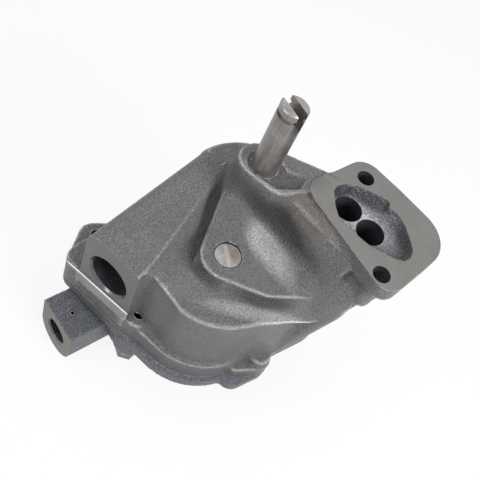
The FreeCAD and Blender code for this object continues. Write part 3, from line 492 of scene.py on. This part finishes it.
# Plans are discs (x, y, radius), other discs are (x, y, radius, z), and all numbers are millimetres.
bodyPlan = {
    "grid": 0.8,  # voxel of the cast skin
    "passes": 3,
    "joint": -95.5,
    "face": -62.4,
    "pin": (-27.77, -13.56),
    "flangeBolts": [("holeA", (34.1, -35.3)), ("holeB", (-3.8, -69.8))],
    "ears": [(-56, 3.2), (-41, 50), (-24, -52), (29, 25), (34, -33)],
    "threadTops": [-80.4, -76, -84, -84, -84],
    "threadBottom": -97,
    "threadRadius": 2.9,
    # upright lids and holes (low, high, radius)
    "earLid": (-98.5, -82.6, 6.3), "shaftLid": (-40, -0.7, 6.8), "pinLid": (-60, -32.6, 7.6),
    "boltLid": (-22, -5, 4.6), "flangeHole": (-39, 3, 4.2),
    # lids over the openings as a plan between two heights, proud of the faces that are milled later
    "lids": [
        ("jointLid", [(0, 0, 34), (-41, 49, 7.4), (-56, 45, 6.4), (-56, 3.2, 6.4), (-27.77, -13.56, 34),
                      (14, -46.5, 16.8)], -98.5, -84),
        ("sideLid", [(-57.0, 45, 6.4), (-57.0, 3.2, 6.4), (-50, 3.2, 6.4), (-50, 45, 6.4)], -98.5, -79),
        ("flangeLid", [(34.1, -35.3, 9.6), (12, -30, 9.4), (-1.4, -72, 7.8), (24, -66, 17),
                       (34, -50, 8.8)], -8, 2.5),
    ],
    "earSkins": [
        ([(-42.0, 50.2, 8.3), (-30, 40, 8), (-56.8, 44.5, 6.4)], -98.5, -81.0),
        ([(-24.5, -52.0, 7.4), (-34, -46, 6)], -98.5, -87.0),
    ],
    # the pickup face's corners (y, z, radius), from outside to inside
    "faceCorners": [
        (6.3, -87.5, 0.5), (38.5, -87.5, 0.5), (31.5, -50, 7.5), (6.3, -43, 0.5), (6.1, -47.5, 0.5),
    ],
    "faceDepths": (-65.5, -60),
    # foot of the pin terrace, hollowed towards the shoulder in steps (growth, height)
    "foot": [(-27.77, -13.56, 13), (-22, -34, 9.3), (-9, -48, 8)],
    "footSteps": [("footLow", (8.5, -43.8), (2.8, -40.0)), ("footHigh", (2.8, -40.0), (0.4, -36.5))],
    "flesh": [
        # the ramp's gentle part, then its steep part
        [(-14.5, -6, 1, -30), (-17.5, -20, 1, -33.2), (-18.5, -32, 1, -33.2), (-13.5, -49, 1, -34),
         (-8.5, -11, 1, -28.5), (-9.5, -30, 1, -28.8), (-10, -45, 1, -30.2), (0, -10, 2, -33),
         (0, -40, 2, -33)],
        [(-11, -6, 1, -26), (-8.5, -11, 1, -28.5), (-9.5, -30, 1, -28.8), (-10, -45, 1, -30.2),
         (-6.5, -9, 1, -18), (-5.2, -20, 1, -19), (-5.2, -30, 1, -20.5), (-7.6, -44, 1, -23.5),
         (0, -10, 2, -30), (0, -44, 2, -30), (2, -20, 2, -18)],
        # the arm's flank and its root on the ramp
        [(-5.2, -19, 1, -19), (-5.2, -30, 1, -20.5), (-8.0, -44, 1, -23.5), (-10, -54, 1, -30),
         (-1.5, -19, 1.5, -3.2), (2.6, -29, 1.5, -2.4), (-1.0, -42, 1.5, -3), (-3.8, -52, 1.5, -5),
         (-5, -58, 1.5, -8), (4, -40, 2, -30)],
        [(-13.5, -49, 1, -34), (-10, -45, 1, -30.2), (-8, -44, 1, -23.5), (-10, -54, 1.5, -30),
         (-12, -54, 1.5, -34), (-15.2, -56.5, 1.5, -43), (-5, -50, 2, -25), (-5, -58, 2, -42)],
        # behind the scallop
        [(-49.5, -2, 4, -82), (-49.5, 8, 4, -82), (-54, -10, 3, -82), (-57, 9.5, 1, -82),
         (-49.5, -2, 4, -43.2), (-49.5, 8, 4, -43.2), (-54, -10, 3, -43.2), (-57, 9.5, 1, -43.2)],
        # between the dish and the flange
        [(1.0, -19.5, 2, -3.6), (4.0, -26, 3, -2.6), (9, -24, 3, -2.4), (4, -24, 3, -12)],
        # the arm's underside
        [(-10, -54, 1.5, -30), (-12, -55, 1.5, -35), (-14.5, -57.5, 1.5, -45), (-11.5, -60.5, 1.5, -56),
         (-6.5, -64.5, 1.5, -17), (-3, -71, 3, -12), (-6.5, -58, 1.5, -18), (0, -64, 4, -30),
         (-4, -60, 3, -50)],
    ],
    "hollows": [
        # the shaft's dish in three steps, then the scallop beside the pickup face
        [(0, 0, 7.4, -2.2), (-0.5, -9, 5.0, -2.4), (0, 0, 9.4, 1), (-0.5, -9, 7.0, 1)],
        [(-0.5, -9, 4.6, -2.4), (3.6, -14.4, 3.6, -2.2), (-0.5, -9, 6.6, 1), (3.6, -14.4, 5.2, 1)],
        [(3.6, -14.4, 3.6, -2.1), (8.5, -16.0, 1.6, -0.9), (3.6, -14.4, 5.2, 1), (8.5, -16.0, 2.4, 1)],
        [(-60.3, 2.6, 4.2, -81), (-66.0, -17.5, 6.2, -81), (-60.3, 2.6, 4.2, -30), (-66.0, -17.5, 6.2, -30)],
    ],
    # the trench beside the terrace as bars (start, end, radius, end radius)
    "grooves": [
        ((-2.5, 16.2, -20.6), (-15.0, 9.6, -28.6), 0.8, 2.3),
        ((-15.0, 9.6, -28.6), (-26.0, 4.2, -35.6), 2.3, 2.5),
        ((-26.0, 4.2, -35.6), (-38.0, -3.0, -41.0), 2.5, 1.2),
    ],
    "cracks": [((-0.6, 21.8, -20.8), (-0.5, 18.0, -20.9)), ((-0.5, 18.0, -20.9), (2.1, 17.6, -20.6))],
    "crackRadius": 0.45,
    # soft spots (x, y, z, reach, extra passes): ramp and arm, trench and plate, scallop
    "soft": [
        (-6, -6, -22, 13, 16), (-7, -16, -25, 13, 24), (-8, -28, -25, 13, 24), (-9, -40, -27, 13, 24),
        (-11, -49, -31, 11, 20), (-11, -56, -35, 11, 24), (-9, -60, -26, 10, 16), (-2, -20, -8, 8, 10),
        (-2, -36, -10, 10, 12),
        (-5, 15, -21, 8, 14), (-11, 12, -26, 8, 14), (-18, 8, -30, 8, 14), (-25, 5, -34, 8, 14),
        (-31, 1, -38, 8, 14), (-37, -2, -40, 8, 14), (-40, -3, -42, 8, 30), (-45, -1, -42, 8, 30),
        (-50, 1.5, -42, 7, 30),
        (-59, -18, -58, 12, 16), (-59, -18, -71, 12, 16),
    ],
    # bores and passages (name, start, end, radius, end radius, finish)
    "bores": [
        ("drivePocket", (0, 0, -97), (0, 0, -53.4), 19.3, 19.3, boredIron),
        ("idlerPocket", (-27.77, -13.56, -97), (-27.77, -13.56, -53.4), 19.3, 19.3, boredIron),
        ("shaftBore", (0, 0, -60), (0, 0, 5), 6.42, 6.42, boredIron),
        ("pinBore", (-27.77, -13.56, -60), (-27.77, -13.56, -20), 6.37, 6.37, boredIron),
        ("pinEdge", (-27.77, -13.56, -36.5), (-27.77, -13.56, -31.5), 6.85, 6.85, boredIron),
        ("pickupBore", (-70, 22.5, -63.5), (-46.4, 22.5, -63.5), 11.25, 11.25, boredIron),
        ("pickupPassage", (-60, 22.5, -63.5), (-27, 22.5, -63.5), 9.75, 9.75, cavityCast),
        ("pickupEdge", (-62.6, 22.5, -63.5), (-61.0, 22.5, -63.5), 12.4, 11.1, boredIron),
    ],
    # chambers beside the gears as a plan between two heights
    "chambers": [
        ("inletChamber", [(-17, 13, 7), (-27, 20, 9.5), (-37, 20, 8), (-28, 6, 5)], -97.4, -55.5),
        ("outletChamber", [(17.1, -39.2, 7), (-5, -21, 6), (-10, -27, 5), (15.1, -53.8, 6)], -97.8, -80),
    ],
    # the outlet cavity's halves: edge at the flange (x, y), then a plan of its floor
    "cavities": [
        ("cavityHigh",
         [(4.6, -44.0), (4.2, -41.0), (9.0, -35.4), (15.0, -30.0), (18.2, -29.4), (22.4, -31.2),
          (26.6, -35.6), (28.4, -41.4), (31.9, -49.6), (31.2, -51.2), (17.0, -51.4), (4.3, -49.0)],
         [(8.2, -44.5, 2.6), (12.5, -37.4, 4.0), (20.0, -34.4, 3.0), (24.4, -42.5, 2.0), (25.0, -51.0, 2.4)]),
        ("cavityLow",
         [(4.3, -49.0), (29.0, -51.0), (29.3, -56.6), (27.0, -62.9), (21.5, -69.5), (18.2, -72.9),
          (14.2, -73.9), (10.9, -72.9), (8.6, -69.8), (7.2, -65.0), (4.6, -58.6), (4.3, -49.0)],
         [(25.0, -51.0, 2.4), (7.6, -51.0, 2.6), (9.4, -60.0, 3.0), (13.8, -69.5, 3.0), (18.5, -67.4, 3.0),
          (24.0, -57.5, 2.4)]),
    ],
    "floorHeights": [(0.0, -5.4), (1.2, -4.4)],  # growth and height of the cavity's floor and its corner
    "ports": [("portA", (17.1, -39.2), 7), ("portB", (15.1, -53.8), 7.02)],
    "portEnds": (-81, -3),
}


def bodySkin():
    plan = bodyPlan
    parts = [copyNode("pump_body", "bodySkin")]
    for name, discs, low, high in plan["lids"]:
        parts.append(slab(name, discs, low, high))
    for spot in plan["ears"]:
        parts.append(post("earLid", spot, *plan["earLid"]))
    for discs, low, high in plan["earSkins"]:
        parts.append(slab("earSkin", discs, low, high))
    parts.append(post("shaftLid", (0, 0), *plan["shaftLid"]))
    parts.append(post("pinLid", plan["pin"], *plan["pinLid"]))
    for _, spot in plan["flangeBolts"]:
        parts.append(post("boltLid", spot, *plan["boltLid"]))
    face = []
    for y, z, r in plan["faceCorners"]:
        for x in plan["faceDepths"]:
            face.append(bar("faceCorner", (x, y, z), (x + 0.2, y, z), r, sides=24))
    parts.append(wrapUp(gather("faceLid", face)))
    for name, *steps in plan["footSteps"]:
        discs = [(x, y, r + growth, z) for growth, z in steps for x, y, r in plan["foot"]]
        parts.append(stretch(name, discs))
    for form in plan["flesh"]:
        parts.append(stretch("flesh", form, sides=12))
    return gather("bodyCasting", parts)


# The milling cut of the pickup face, with a sloping floor on the rim whose inner edge carries a painted
# highlight line.
def faceCutter(face):
    near = -30
    far = 75
    # distance out from the face, then the heights at the near and the far end
    corners = [(0.1, -73.0, -84.0), (5, -76.2, -87.2), (0.1, 6, 6), (12, -76.2, -87.2), (12, 6, 6)]
    discs = []
    for out, nearHeight, farHeight in corners:
        discs += [(face - out, near, 0.1, nearHeight), (face - out, far, 0.1, farHeight)]
    cutter = stretch("faceCutter", discs, milledFace, sides=8)
    cutter.data.materials.append(milledEdge)
    for side in cutter.data.polygons:
        if side.normal.z < -0.4:
            side.material_index = 1
    return cutter


# A hollow from its edge just above the flange down to a smaller round-cornered floor.
def bowl(name, edge, floor, finish):
    discs = [(x, y, 0.5, z) for z in (0.8, -0.8) for x, y in edge]
    for growth, height in bodyPlan["floorHeights"]:
        discs += [(x, y, r + growth, height) for x, y, r in floor]
    return stretch(name, discs, finish, sides=20)


def coreTool():
    plan = bodyPlan
    tools = [bar(name, start, end, radius, endRadius, finish)
             for name, start, end, radius, endRadius, finish in plan["bores"]]
    for name, discs, low, high in plan["chambers"]:
        tools.append(slab(name, discs, low, high, cavityCast))
    for name, edge, floor in plan["cavities"]:
        tools.append(bowl(name, edge, floor, cavityCast))
    for name, spot, radius in plan["ports"]:
        tools.append(post(name, spot, *plan["portEnds"], radius, boredIron))
    return unite("coreTool", tools)


def bodyCasting():
    plan = bodyPlan
    piece = bodySkin()
    useModifier(piece, "REMESH", mode="VOXEL", voxel_size=plan["grid"] * mm)
    for discs in plan["hollows"]:
        carve(piece, stretch("hollow", discs, sides=24))
    for start, end, radius, endRadius in plan["grooves"]:
        carve(piece, bar("groove", start, end, radius, endRadius))
    piece.data.materials.clear()
    useModifier(piece, "REMESH", mode="VOXEL", voxel_size=plan["grid"] * mm)
    soften(piece, plan["passes"], plan["soft"])
    for finish in (bodyCast, milledFace, boredIron, cavityCast, milledEdge):
        piece.data.materials.append(finish)
    saw(piece, (0, 0, 0), (0, 0, 1), 1)
    saw(piece, (0, 0, plan["joint"]), (0, 0, -1), 1)
    carve(piece, faceCutter(plan["face"]))
    core = coreTool()
    for start, end in plan["cracks"]:
        carve(piece, bar("crack", start, end, plan["crackRadius"], finish=cavityCast, sides=12))
    small = [post(name, spot, *plan["flangeHole"], boredIron) for name, spot in plan["flangeBolts"]]
    for spot, top in zip(plan["ears"], plan["threadTops"]):
        small.append(post("thread", spot, plan["threadBottom"], top, plan["threadRadius"],
                          boredIron, sides=32))
    small.append(core)
    carve(piece, gather("bodyTool", small))
    return finishAs(piece, "housing", "casting", "pump_body")


bodyPiece = bodyCasting()
print("body casting done", len(bodyPiece.data.polygons))

# Cover casting with the relief valve's boss

coverPlan = {
    "grid": 0.8,
    "passes": 5,
    # the relief bore's direction in degrees, its depth below the frame's origin and its offset sideways
    "reliefTurn": 167.5, "reliefDrop": 119.4, "reliefAcross": -16.2,
    "bossFace": 84, "bossInner": 70, "bossHalf": 11,
    # skins that thicken the cover's edge as a plan between two heights
    "skins": [
        ("jointSkin", [(0, 0, 34.5), (-41, 49, 8), (-56, 45, 6.4), (-56, 0, 8.6), (-27.77, -13.56, 36.4),
                       (14, -46.5, 17.4)], -101, -93),
        ("coverEarSkin", [(-42.0, 50.0, 8.3), (-30, 40, 8), (-56.8, 44.5, 6.5)], -102.3, -93),
        ("coverEarSkin", [(-24.3, -52.0, 7.6), (-36, -48, 7.6)], -102.3, -93),
        ("coverSideSkin", [(-57.0, 45, 6.5), (-57.0, 2.0, 6.9)], -102.3, -93),
        ("footSkin", [(-56.6, 3.2, 8.8)], -112, -98),
    ],
    "earBottoms": [-118.3, -102.4, -102.4, -102.4, -102.4],
    "rollPin": 75.5,
}
reliefTurn = math.radians(coverPlan["reliefTurn"])
reliefWay = Vector((math.cos(reliefTurn), math.sin(reliefTurn), 0))
reliefSide = Vector((-reliefWay.y, reliefWay.x, 0))


def onRelief(station, drop=coverPlan["reliefDrop"], across=coverPlan["reliefAcross"]):
    spot = reliefWay * station + reliefSide * across
    return (spot.x, spot.y, -drop)


def coverCasting():
    plan = coverPlan
    pinStation = plan["rollPin"]
    parts = [copyNode("pump_cover", "coverSkin")]
    for spot, bottom in zip(bodyPlan["ears"], plan["earBottoms"]):
        parts.append(post("coverEarLid", spot, bottom, -93, 5.5))
    parts.append(bar("boreLid", onRelief(80), onRelief(86.5), 8.6))
    corners = []
    for station in (plan["bossInner"], plan["bossFace"]):
        for half in (-plan["bossHalf"], plan["bossHalf"]):
            x, y, _ = onRelief(station, 0, plan["reliefAcross"] + half)
            corners.append((x, y, 2.5))
    parts.append(slab("boss", corners, -125, -105.5))
    parts.append(bar("bossEnd", onRelief(78, 122.8), onRelief(86.5, 122.8), 13.4))
    for name, discs, low, high in plan["skins"]:
        parts.append(slab(name, discs, low, high))
    parts.append(bar("rollLid", onRelief(pinStation, 106), onRelief(pinStation, 112), 3))
    piece = gather("coverCasting", parts)
    useModifier(piece, "REMESH", mode="VOXEL", voxel_size=plan["grid"] * mm)
    soften(piece, plan["passes"])
    for finish in (coverCast, milledFace, boredIron):
        piece.data.materials.append(finish)
    saw(piece, (0, 0, bodyPlan["joint"]), (0, 0, 1), 0)
    saw(piece, onRelief(plan["bossFace"]), reliefWay, 1)
    tools = [
        bar("reliefBore", onRelief(90), onRelief(30), 7.2, finish=boredIron),
        bar("reliefEdge", onRelief(84.2), onRelief(83.0), 8.2, 7.1, finish=boredIron),
        bar("rollHole", onRelief(pinStation, 104), onRelief(pinStation, 140), 2.0,
            finish=boredIron, sides=24),
    ]
    small = [unite("boreTool", tools)]
    for spot in bodyPlan["ears"]:
        small.append(post("boltWay", spot, -130, -90, 3.5, boredIron, sides=32))
    carve(piece, gather("coverTool", small))
    return finishAs(piece, "housing", "casting", "pump_cover")


coverPiece = coverCasting()
print("cover casting done", len(coverPiece.data.polygons))

# CAD nodes that keep their own shape

keptFinishes = {
    "drive_shaft": groundSteel, "idler_shaft": pinSteel,
    "drive_gear": groundSteel, "idler_gear": groundSteel,
    "relief_valve": groundSteel, "relief_spring": springSteel,
    "spring_cap": boltSteel, "roll_pin": springSteel,
}
for number in range(1, 6):
    keptFinishes["cover_bolt_%d" % number] = boltSteel
    keptFinishes["lock_washer_%d" % number] = springSteel
for node, finish in keptFinishes.items():
    nodes[node].data.materials.clear()
    nodes[node].data.materials.append(finish)
print("kept nodes finished")

# Stage

stagePlan = {
    "floor": (0.8, 0.8, 0.8), "floorRoughness": 0.9, "floorSize": 8, "floorGap": 0.0002, "floorGlow": 0.87,
    "worldLevel": 0.18,
    # place in metres, size, power
    "lights": [
        ((-0.14, -0.72, 0.40), 0.36, 6.8),
        ((0.05, 0.05, 0.85), 0.80, 4.8),
        ((-0.52, 0.32, 0.36), 0.30, 1.7),
    ],
    "aim": (-0.018, -0.01, -0.06),
}
cameraPlan = {
    "place": (-0.198576, -0.065510, 0.220892),
    "right": (0.62099, -0.72785, 0.29086),
    "up": (0.53352, 0.66437, 0.52343),
    "back": (-0.57422, -0.16987, 0.80089),
    "sensor": 36, "lens": 51.178, "nearest": 0.01, "farthest": 20,
}


# One for the rays that see the background white: from the camera, off metal and through glass.
def directRays(tree):
    path = tree.nodes.new("ShaderNodeLightPath")
    seen = path.outputs["Is Camera Ray"]
    for kind in ("Is Glossy Ray", "Is Transmission Ray"):
        either = tree.nodes.new("ShaderNodeMath")
        either.operation = "MAXIMUM"
        tree.links.new(seen, either.inputs[0])
        tree.links.new(path.outputs[kind], either.inputs[1])
        seen = either.outputs[0]
    return seen


# A pale floor that keeps the object's shadow and glows white to the camera.
def setFloor():
    pick()
    bpy.ops.mesh.primitive_plane_add(
        size=stagePlan["floorSize"], location=(0, 0, cadBox[0].z - stagePlan["floorGap"]))
    floor = settle(bpy.context.object, "floor")
    material = bpy.data.materials.new("paleFloor")
    material.use_nodes = True
    tree = material.node_tree
    shader = tree.nodes["Principled BSDF"]
    shader.inputs["Base Color"].default_value = (*stagePlan["floor"], 1)
    shader.inputs["Roughness"].default_value = stagePlan["floorRoughness"]
    glow = tree.nodes.new("ShaderNodeEmission")
    part = tree.nodes.new("ShaderNodeMath")
    part.operation = "MULTIPLY"
    tree.links.new(directRays(tree), part.inputs[0])
    part.inputs[1].default_value = stagePlan["floorGlow"]
    mix = tree.nodes.new("ShaderNodeMixShader")
    tree.links.new(part.outputs[0], mix.inputs[0])
    tree.links.new(shader.outputs[0], mix.inputs[1])
    tree.links.new(glow.outputs[0], mix.inputs[2])
    tree.links.new(mix.outputs[0], tree.nodes["Material Output"].inputs["Surface"])
    floor.data.materials.append(material)


def setWorld():
    world = bpy.data.worlds.new("paleWorld")
    world.use_nodes = True
    tree = world.node_tree
    background = tree.nodes["Background"]
    level = tree.nodes.new("ShaderNodeMapRange")
    tree.links.new(directRays(tree), level.inputs["Value"])
    level.inputs["To Min"].default_value = stagePlan["worldLevel"]
    level.inputs["To Max"].default_value = 1.0
    background.inputs["Color"].default_value = (1, 1, 1, 1)
    tree.links.new(level.outputs["Result"], background.inputs["Strength"])
    bpy.context.scene.world = world


def setLights():
    for place, size, power in stagePlan["lights"]:
        bpy.ops.object.light_add(type="AREA", location=place)
        lamp = bpy.context.object
        lamp.data.size = size
        lamp.data.energy = power
        aim = Vector(stagePlan["aim"]) - Vector(place)
        lamp.rotation_euler = aim.to_track_quat("-Z", "Y").to_euler()


def setCamera():
    bpy.ops.object.camera_add()
    camera = bpy.context.object
    axes = [Vector(cameraPlan[key]) for key in ("right", "up", "back")]
    turn = Matrix(axes).transposed().to_4x4()
    turn.translation = Vector(cameraPlan["place"])
    camera.matrix_world = turn
    camera.data.sensor_width = cameraPlan["sensor"]
    camera.data.lens = cameraPlan["lens"]
    camera.data.clip_start = cameraPlan["nearest"]
    camera.data.clip_end = cameraPlan["farthest"]
    bpy.context.scene.camera = camera
    bpy.context.scene.view_settings.view_transform = "Standard"


setFloor()
setWorld()
setLights()
setCamera()
print("stage set")
